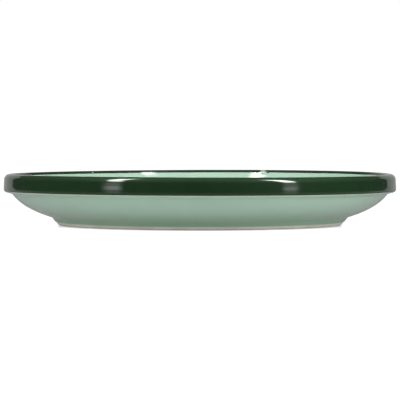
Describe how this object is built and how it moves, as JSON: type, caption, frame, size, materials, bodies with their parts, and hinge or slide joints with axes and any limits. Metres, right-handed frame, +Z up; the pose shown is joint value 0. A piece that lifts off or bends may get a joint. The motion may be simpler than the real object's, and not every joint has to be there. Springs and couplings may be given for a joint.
{
  "type": "plant saucer",
  "caption": "Round glazed stoneware plant saucer with a thick dark green collar, a curved pale green bowl and a bare clay foot ring.",
  "frame": {"origin": "on the table, at the middle of the foot ring", "axes": "+Z up along the middle line that the saucer is turned about; X and Y are alike"},
  "size_m": [0.2, 0.2, 0.0262],
  "materials": {
    "stoneware": "bare fired clay, matt and faintly sandy, smoothed on the standing face",
    "pale_green_glaze": "glossy glaze, very slightly wavy, darker where it lies thick near the foot",
    "dark_green_glaze": "deep glossy bottle green glaze, with a thin line where it ends"
  },
  "bodies": {
    "root": {"clay_body": "stoneware", "underside_glaze": "pale_green_glaze", "outer_glaze": "pale_green_glaze", "rim_glaze": "dark_green_glaze", "inner_glaze": "pale_green_glaze"}
  },
  "joints": []
}
